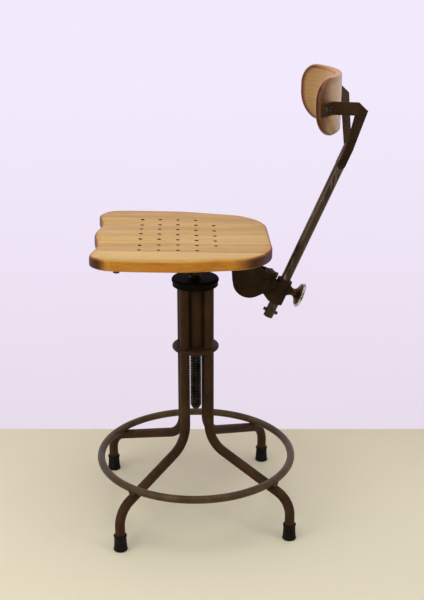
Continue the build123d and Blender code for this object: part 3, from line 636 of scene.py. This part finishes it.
# %% Lathe and round corner
def lathe(profile, base, around, ripple=None):
    """Points and faces of a profile of (radius, height) turned about the base's Z axis. A
    ripple adds to the radius according to the radius and the angle."""
    verts, faces, rings = [], [], []
    for radius, height in profile:
        if radius < 1e-7:  # a point on the axis
            rings.append([len(verts)])
            verts.append(base @ Vector((0, 0, height)))
            continue
        ring = []
        for step in range(around):
            angle = math.tau * step / around
            out = radius + (ripple(radius, angle) if ripple else 0.0)
            ring.append(len(verts))
            verts.append(base @ Vector((out * math.cos(angle), out * math.sin(angle), height)))
        rings.append(ring)
    for low, high in zip(rings, rings[1:]):
        for step in range(around):
            after = (step + 1) % around
            if len(low) == 1:
                faces.append((low[0], high[step], high[after]))
            elif len(high) == 1:
                faces.append((low[step], low[after], high[0]))
            else:
                faces.append((low[step], low[after], high[after], high[step]))
    return verts, faces


def arc(centre, radius, start, end, steps):
    """Points (radius, height) along a round corner, angles in degrees."""
    points = []
    for step in range(steps + 1):
        angle = math.radians(start + (end - start) * step / steps)
        out = centre[0] + radius * math.cos(angle)
        points.append((out, centre[1] + radius * math.sin(angle)))
    return points


print("helpers: lathe, arc")


# %% Softened copy
def softened(node_name, body, voxel, rounds, name=None):
    """A copy of a hard-edged part with its corners rounded over, as cast metal has them."""
    copy = link(frame["nodes"][node_name].data.copy(), name or f"{node_name}_cast")
    for kind, settings in (
        ("REMESH", {"mode": "VOXEL", "voxel_size": voxel}),
        ("SMOOTH", {"factor": 0.5, "iterations": rounds}),
    ):
        modifier = copy.modifiers.new(kind.lower(), kind)
        for key, value in settings.items():
            setattr(modifier, key, value)
    graph = bpy.context.evaluated_depsgraph_get()
    mesh = bpy.data.meshes.new_from_object(copy.evaluated_get(graph))
    copy.modifiers.clear()
    copy.data = mesh
    paint(copy, slot_of[node_name])
    finish_piece(copy, body, angle=60)
    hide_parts(node_name)
    print(copy.name, "has", len(mesh.polygons), "faces")


# %% [markdown]
# ## Boards
# A board starts as one closed outline. Rings of the same points are stepped in from it: a
# few close together to round the edge, then more to carry the dishing towards the middle.
# One function then makes both the seat and the backrest from such rings, and a rule for
# each says where a ring's point goes. It also writes the numbers that the wood finish
# reads: where a point lies along and across the grain, how deep it is, and how near the
# rim. A bevel on a plain block would round the edge too, but it would leave no rings to
# dish and to measure by.


# %% Curves and outlines
def hermite(start, end, leave, arrive, steps):
    """Points of a smooth curve from start, short of end, with the slopes given at both."""
    points = []
    for step in range(steps):
        t = step / steps
        from_start = 2 * t**3 - 3 * t**2 + 1
        leaving = t**3 - 2 * t**2 + t
        to_end = -2 * t**3 + 3 * t**2
        arriving = t**3 - t**2
        place = Vector(start) * from_start + Vector(leave) * leaving + Vector(end) * to_end
        points.append(place + Vector(arrive) * arriving)
    return points


def evenly(points, spacing):
    """The closed outline through these points, walked at an even pace."""
    loop = points + [points[0]]
    lengths = [(b - a).length for a, b in zip(loop, loop[1:])]
    count = round(sum(lengths) / spacing)
    pace = sum(lengths) / count
    walked, leg, into = [], 0, 0.0
    for _ in range(count):
        while into > lengths[leg] + 1e-12:  # a hair over, for rounding
            into -= lengths[leg]
            leg += 1
        walked.append(loop[leg].lerp(loop[leg + 1], into / lengths[leg]))
        into += pace
    return walked


def inward(outline):
    """A unit step towards the inside at each point of an outline walked clockwise."""
    count = len(outline)
    steps = []
    for i in range(count):
        along = (outline[(i + 1) % count] - outline[i - 1]).normalized()
        steps.append(Vector((along.y, -along.x)))
    return steps


print("helpers: hermite, evenly, inward")

# %% Board rings and faces
EDGE_STEPS = 6  # steps round each rounded edge
WALL_STEPS = 4  # steps down the straight wall between the two edges
LAST_PULL = 0.985  # how near the middle the innermost ring comes, as a share of the way
RIM_WIDTH = 0.016  # how far in from the edge the handled band begins on the top
TOP_RIM, UNDER_RIM = 0.5, 0.4  # the rim number where the flat top ends, and underneath


def board_rings(outline, edge, rings, thick, low_edge):
    """Rings of (x, y, height share, rim) from the middle of the top, round the edge, to the
    middle of the underside. The height share is 1 on top and 0 below."""
    steps = inward(outline)
    middle = sum(outline, Vector((0, 0))) / len(outline)
    reach = min((p - middle).length for p in outline)
    made = []

    def ring(inset, pull, height, rim):
        row = []
        for point, step in zip(outline, steps):
            place = (point + step * inset).lerp(middle, min(pull, LAST_PULL))
            row.append((place.x, place.y, height, rim))
        made.append(row)

    def rounded(radius, angle):
        """How far in and how far down a rounded edge is, once it has turned so far."""
        return radius * (1 - math.sin(angle)), radius * (1 - math.cos(angle))

    pulls = [1 - i / rings for i in range(rings - 1)]
    for pull in pulls:
        ring(edge, pull, 1.0, max(0.0, 1 - pull * reach / RIM_WIDTH) * TOP_RIM)
    for i in range(EDGE_STEPS + 1):
        inset, drop = rounded(edge, math.pi / 2 * i / EDGE_STEPS)
        ring(inset, 0.0, 1 - drop / thick, TOP_RIM + (1 - TOP_RIM) * i / EDGE_STEPS)
    for i in range(1, WALL_STEPS):
        drop = edge + (thick - edge - low_edge) * i / WALL_STEPS
        ring(0.0, 0.0, 1 - drop / thick, 1.0)
    for i in range(EDGE_STEPS + 1):
        inset, climb = rounded(low_edge, math.pi / 2 * (1 - i / EDGE_STEPS))
        ring(inset, 0.0, climb / thick, 1.0)
    for pull in reversed(pulls):
        ring(low_edge, pull, 0.0, UNDER_RIM)
    return made


def board_faces(rings, around):
    """Quads between rings of the same number of points, with both ends closed."""
    faces = [tuple(range(around))[::-1]]
    for row in range(rings - 1):
        for step in range(around):
            after = (step + 1) % around
            a, b = row * around, (row + 1) * around
            faces.append((a + step, a + after, b + after, b + step))
    faces.append(tuple(range((rings - 1) * around, rings * around)))
    return faces


print("helpers: board_rings, board_faces")


# %% Shaped board
def shaped_board(name, rows, rule, body, slot):
    """A board from its rings. The rule turns one (x, y, height share, rim) into a point and
    the four numbers that the wood finish reads there."""
    verts, numbers = [], {"run": [], "breadth": [], "depth": [], "rim": []}
    for row in rows:
        for spot in row:
            point, *measures = rule(*spot)
            verts.append(point)
            for column, measure in zip(numbers.values(), measures):
                column.append(measure)
    made = piece(name, verts, board_faces(len(rows), len(rows[0])), body, slot, angle=50)
    for column, values in numbers.items():
        layer = made.data.attributes.new(column, "FLOAT", "POINT")
        layer.data.foreach_set("value", values)
    print(name, "has", len(verts), "points")
    return made


print("helper: shaped_board")

# %% [markdown]
# ### The seat
# The seat is glued up from hardwood staves and sawn to a shield shape: straight at the
# back, widest at the thighs, with three soft lobes at the front. A cutter then dishes it.
# Two shallow thigh hollows fade out rearwards, and there is a slight dish under the sitter.
# It could be sculpted by hand, but an outline and a short formula for the hollows give a
# smooth top that a change of one number reshapes. The vents are drilled afterwards, so here
# too they are cut last, with eased rims.

# %% Seat outline
seat_tilt = math.radians(1.5)
seat_under = 0.643
seat_thick = 0.0255
rear_y = 0.165
corner_r = 0.108
corner_centre = Vector((0.078, rear_y - corner_r))
corner_turn = math.radians(81.5)
side_wide = Vector((0.204, -0.053))
side_front = Vector((0.200, -0.183))
lobe_tip = Vector((0.160, -0.222))
thigh_notch = Vector((0.085, -0.213))
centre_lobe = Vector((0.0, -0.222))


def round_rear_corner(angle):
    """The place on the rear corner's round, so far on from the straight rear edge."""
    return corner_centre + Vector((math.sin(angle), math.cos(angle))) * corner_r


def seat_outline():
    """One side of the seat from the middle of the rear round to the front, then the other."""
    side = [Vector((corner_centre.x * i / 20, rear_y)) for i in range(20)]
    side += [round_rear_corner(corner_turn * i / 40) for i in range(40)]
    leaving = Vector((math.cos(corner_turn), -math.sin(corner_turn)))
    forwards, closing, inwards = Vector((0.0, -1.0)), Vector((-0.15, -1.0)), Vector((-1.0, 0.0))
    corner_end = round_rear_corner(corner_turn)
    # Each row: start, end, the slopes there, and the number of steps. A long slope holds the
    # curve to its direction for longer.
    for bend in (
        (corner_end, side_wide, leaving * 0.13, forwards * 0.13, 30),
        (side_wide, side_front, forwards * 0.13, closing * 0.12, 30),
        (side_front, lobe_tip, closing * 0.055, inwards * 0.05, 20),
        (lobe_tip, thigh_notch, inwards * 0.075, inwards * 0.075, 20),
        (thigh_notch, centre_lobe, inwards * 0.085, inwards * 0.085, 20),
    ):
        side += hermite(*bend)
    side.append(centre_lobe)
    other = [Vector((-p.x, p.y)) for p in reversed(side[1:-1])]
    return evenly(side + other, spacing=0.0042)


outline = seat_outline()
print("seat outline:", len(outline), "points,", round(2 * max(p.x for p in outline), 4), "wide")

# %% Seat top
thigh_x, thigh_width, thigh_depth = 0.085, 0.036, 0.0048
thigh_start, thigh_full = 0.01, 0.20  # how far forward the hollows begin and are deepest
dish_y, dish_width, dish_length, dish_depth = 0.045, 0.11, 0.085, 0.0028
roll_start, roll_end, roll_depth = 0.195, 0.222, 0.0022  # the front edge rolls down


def bell(value, width):
    """One in the middle, falling off to nothing on both sides."""
    return math.exp(-((value / width) ** 2))


def fade(value, low, high):
    """Nought at low and one at high, with soft ends."""
    t = min(1.0, max(0.0, (value - low) / (high - low)))
    return t * t * (3 - 2 * t)


def seat_top(x, y):
    """How far the top face lies below its flat blank."""
    hollow = thigh_depth * bell(abs(x) - thigh_x, thigh_width) * fade(-y, thigh_start, thigh_full)
    dish = dish_depth * bell(x, dish_width) * bell(y - dish_y, dish_length)
    roll = roll_depth * fade(-y, roll_start, roll_end)
    return hollow + dish + roll


print("hollow at the thighs:", round(seat_top(thigh_x, -thigh_full), 4))


# %% Seat mesh
def on_seat(x, y, height):
    """A point of the seat's own space, tilted and lifted into place."""
    rise, level = math.sin(seat_tilt), math.cos(seat_tilt)
    return Vector((x, y * level + height * rise, seat_under - y * rise + height * level))


def seat_rule(x, y, share, rim):
    """The staves run from front to back."""
    height = share * (seat_thick - seat_top(x, y))
    return on_seat(x, y, height), y, x, height, rim


rows = board_rings(outline, edge=0.0062, rings=30, thick=seat_thick, low_edge=0.0045)
seat = shaped_board("seat_pierced", rows, seat_rule, "seat", "seat_wood")
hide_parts("seat_board")

# %% Vent holes
vent_r = 0.0038
vent_ease = 0.0007
vent_pitch = 0.0408
vent_front = -0.120
vents_in_row = (7, 7, 7, 7, 5)
past = 0.004  # how far the cutter stands out of both faces
cut_verts, cut_faces = [], []
for row, count in enumerate(vents_in_row):
    for column in range(count):
        x = (column - (count - 1) / 2) * vent_pitch
        y = vent_front + row * vent_pitch
        top = seat_thick - seat_top(x, y)
        base = Matrix.Translation(on_seat(x, y, 0)) @ Matrix.Rotation(-seat_tilt, 4, "X")
        profile = [
            (0, -past),
            (vent_r, -past),
            (vent_r, top - vent_ease),
            (vent_r + 2 * vent_ease, top + vent_ease),
            (vent_r + 2 * vent_ease, top + past),
            (0, top + past),
        ]
        new_verts, new_faces = lathe(profile, base, around=20)
        offset = len(cut_verts)
        cut_verts += new_verts
        cut_faces += [tuple(i + offset for i in face) for face in new_faces]
cutter_mesh = bpy.data.meshes.new("vent_cutter")
cutter_mesh.from_pydata([tuple(v) for v in cut_verts], [], cut_faces)
cutter_mesh.materials.append(finishes["vent_wall"])
cutter = link(cutter_mesh, "vent_cutter")
print("vents:", sum(vents_in_row))

# %% Drill the seat
drill = seat.modifiers.new("vents", "BOOLEAN")
drill.operation = "DIFFERENCE"
drill.solver = "EXACT"
drill.material_mode = "TRANSFER"
drill.object = cutter
graph = bpy.context.evaluated_depsgraph_get()
drilled = bpy.data.meshes.new_from_object(seat.evaluated_get(graph))
seat.modifiers.clear()
seat.data = drilled
bpy.data.objects.remove(cutter)
finish_piece(seat, "seat", angle=38)
print("drilled seat faces:", len(drilled.polygons))

# %% [markdown]
# ### The backrest
# The backrest is bent from thin sheets of hardwood glued together, fifteen millimetres
# thick, on a curve that is an arc seen from above. It is made flat as a board like the seat
# and then each point is swung round the arc's axis, which keeps its thickness the same all
# along. A bend modifier could do that, but here the same rule also hands over the wood's
# numbers. On the rear face the `rim` number also rises over the last six centimetres of
# both tips, which darkens them there.

# %% Backrest
rest_out, rest_thick = 0.205, 0.015  # the outer radius of the arc, and the thickness
rest_axis_y = 0.106
rest_half_width = 0.146
rest_arc = rest_out * math.asin(rest_half_width / rest_out)
rest_low, rest_high = 0.906, 1.026
top_corner, low_corner = 0.046, 0.058
corner_steps = 24
tip_length, tip_darkening = 0.062, 0.9  # how much of each tip is darkened on the rear face, and how dark it gets


def backrest_outline():
    """The flat blank's outline, clockwise: four round corners joined by straight edges."""
    corners = (
        (rest_arc - top_corner, rest_high - top_corner, top_corner, 90, 0),
        (rest_arc - low_corner, rest_low + low_corner, low_corner, 0, -90),
        (low_corner - rest_arc, rest_low + low_corner, low_corner, -90, -180),
        (top_corner - rest_arc, rest_high - top_corner, top_corner, 180, 90),
    )
    points = []
    for along, z, radius, start, end in corners:
        points += [Vector(p) for p in arc((along, z), radius, start, end, corner_steps)]
    return evenly(points, spacing=0.0032)


outline = backrest_outline()
print("backrest outline:", len(outline), "points,", round(2 * rest_arc, 4), "along the arc")


# %% Bent backrest
def backrest_rule(along, z, share, rim):
    """The grain runs from tip to tip."""
    turn = along / rest_out
    radius = rest_out - rest_thick + share * rest_thick
    point = Vector((radius * math.sin(turn), rest_axis_y + radius * math.cos(turn), z))
    darker_tip = tip_darkening * share * fade(abs(along), rest_arc - tip_length, rest_arc)
    return point, z, along, share * rest_thick, max(rim, darker_tip)


rows = board_rings(outline, edge=0.0055, rings=26, thick=rest_thick, low_edge=0.0055)
rest = shaped_board("backrest_bent", rows, backrest_rule, "post", "back_wood")
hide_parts("backrest_board")

# %% [markdown]
# ## The lifting screw
# The screw carries a single-start trapezoidal thread, four turns to the inch. Each point's
# radius depends on how far it is along the thread: flat on the crest, flat in the root and
# sloping between. Height less the share of a turn gives that distance, which makes the
# thread climb as a real helix does. A screw modifier would make a helix as well, but one
# with open ends and a seam to clean up. This way it is one closed skin from foot to head.

# %% Screw
screw_r, root_r = 0.0127, 0.0103
thread_pitch = 0.00635
thread_top = 0.583
crest_ends, root_begins = 0.17, 0.31  # in pitches from the middle of a crest
tip_r, tip_flare = 0.0072, 0.62  # the foot of the screw is turned to a blunt cone
screw_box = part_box("seat_screw")
screw_foot, screw_head = screw_box[0][2], screw_box[1][2]


def thread_radius(share):
    """The radius at this share of one pitch, from the middle of a crest."""
    away = abs((share + 0.5) % 1.0 - 0.5)
    return screw_r - (screw_r - root_r) * fade(away, crest_ends, root_begins)


around, rings_a_turn = 48, 12
heights = []
z = screw_foot
while z < thread_top:
    heights.append(z)
    z += thread_pitch / rings_a_turn
heights += [thread_top, screw_head]
verts = []
for z in heights:
    cone = tip_r + (z - screw_foot) * tip_flare
    for step in range(around):
        angle = math.tau * step / around
        radius = thread_radius(z / thread_pitch - step / around) if z < thread_top else screw_r
        radius = min(radius, cone)
        verts.append((radius * math.cos(angle), radius * math.sin(angle), z))
faces = board_faces(len(heights), around)
screw = piece("lifting_screw", verts, faces, "seat", "oiled_steel", angle=45)
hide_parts("seat_screw")
print("screw points:", len(verts))

# %% [markdown]
# ## Boots
# Each boot is a cup of rubber pushed on the tube's end. It has a rolled lip at the top, a
# slightly waisted wall and a wide foot ring that grips the floor. All of that is one
# profile, given as pairs of a radius and a height, and the lathe turns it once for each
# leg, where the frame has that leg's foot.

# %% Boots
boot_profile = (
    [(0.0, 0.0003), (0.010, 0.0003), (0.011, 0.0)]
    + arc((0.0136, 0.0022), 0.0022, -90, 20, 6)
    + [(0.0149, 0.0065), (0.0144, 0.013), (0.0139, 0.022), (0.0136, 0.031)]
    + arc((0.0127, 0.0356), 0.0022, -20, 120, 8)
    + [(0.01125, 0.0372), (0.01125, 0.0355), (0.0112, 0.020)]
)
for name in [n for n in frame["nodes"] if n.startswith("foot_") and n != "foot_ring"]:
    low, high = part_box(name)
    base = Matrix.Translation(((low[0] + high[0]) / 2, (low[1] + high[1]) / 2, 0.0))
    verts, faces = lathe(boot_profile, base, around=56)
    boot_name = "boot_" + name.removeprefix("foot_")
    boot = piece(boot_name, verts, faces, "base", "black_rubber", angle=50)
    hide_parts(name)
    print(boot.name, "at", [round(v, 4) for v in base.translation])

# %% [markdown]
# ## Castings and folded straps
# The rear bracket, the carrier and the hub were cast in sand, so none of their corners is
# sharp. A bevel would stumble where so many curves meet. A voxel remesh followed by a
# little smoothing rounds them all at once. The straps are folded from flat bar: they get
# the same treatment more finely, which leaves an eased edge and a tight bend.

# %% Castings and straps
softened("back_bracket", "seat", voxel=0.0011, rounds=5)
softened("post_carrier", "carrier", voxel=0.0008, rounds=5)
softened("seat_hub", "seat", voxel=0.0010, rounds=4)
softened("yoke_strap_left", "post", voxel=0.0007, rounds=3, name="strap_left")
softened("yoke_strap_right", "post", voxel=0.0007, rounds=3, name="strap_right")

# %% [markdown]
# ## The back spring
# The coil stands on the carrier's toe and presses up under the bracket's roof. It is the
# one piece that changes its length: when the back leans, the toe lifts and the coil closes.
# Here it is a plain copy with a mesh of its own, riding on the seat; nothing ties it to the
# tilt, so as a rigid coil it would run through the toe when the back leans.

# %% Back spring
coil = link(frame["nodes"]["back_spring"].data.copy(), "spring_coil")
paint(coil, slot_of["back_spring"])
finish_piece(coil, "seat", angle=60)
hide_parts("back_spring")
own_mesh(coil)

# %% [markdown]
# ## Knob
# The clamp's knob is a turned trumpet of plated brass, worn to the brass on its neck, with
# a plated disc on its end. Both are turned parts, so the lathe makes them, about the line
# of the clamp's own joint. A shallow ripple round the disc gives fingers a grip.

# %% Knob
clamp = {joint["name"]: joint for joint in frame["joints"]}["clamp_turn"]
clamp_place = Vector(clamp["pos_m"])
clamp_dir = Vector(clamp["axis"]).normalized()
facing_out = clamp_dir.to_track_quat("Z", "Y").to_matrix().to_4x4()
along_clamp = Matrix.Translation(clamp_place) @ facing_out
knob_start, knob_end = 0.022, 0.0425
knob_profile = (
    [(0.0051, knob_start), (0.0088, knob_start)]
    + arc((0.0083, knob_start + 0.0012), 0.0012, -60, 60, 4)
    + [(0.0086, knob_start + 0.0032), (0.0082, knob_start + 0.0050), (0.0088, knob_start + 0.0080)]
    + [(0.0108, knob_start + 0.0110), (0.0146, knob_start + 0.0140), (0.0198, knob_start + 0.0166)]
    + [(0.0243, knob_start + 0.0184), (0.0249, knob_start + 0.0194)]
    + [(0.0247, knob_end), (0.0051, knob_end)]
)
verts, faces = lathe(knob_profile, along_clamp, around=72)
knob = piece("knob_trumpet", verts, faces, "knob", "knob_brass", angle=40)
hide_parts("clamp_knob")
print("knob on", [round(v, 4) for v in clamp_place])

# %% Knob disc
rim_end = knob_end + 0.0068
ridges, ridge_depth = 24, 0.00045
ridged_beyond = 0.0270  # only points farther out than this are in the ripple


def grip(radius, angle):
    """A ripple in the disc's edge only."""
    return ridge_depth * math.cos(ridges * angle) if radius > ridged_beyond else 0.0


rim_profile = (
    [(0.0, knob_end + 0.0001), (0.0255, knob_end + 0.0001)]
    + arc((0.0263, knob_end + 0.0022), 0.0020, -90, 0, 5)
    + arc((0.0263, rim_end - 0.0022), 0.0020, 0, 90, 5)
    + [(0.0230, rim_end - 0.0002), (0.0212, rim_end - 0.0010), (0.0188, rim_end - 0.0018)]
    + [(0.0100, rim_end - 0.0016), (0.0040, rim_end - 0.0012), (0.0, rim_end - 0.0011)]
)
verts, faces = lathe(rim_profile, along_clamp, around=192, ripple=grip)
disc = piece("knob_disc", verts, faces, "knob", "nickel", angle=40)
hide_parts("knob_rim")
print("disc", round(rim_end - knob_end, 4), "thick with", ridges, "ridges")
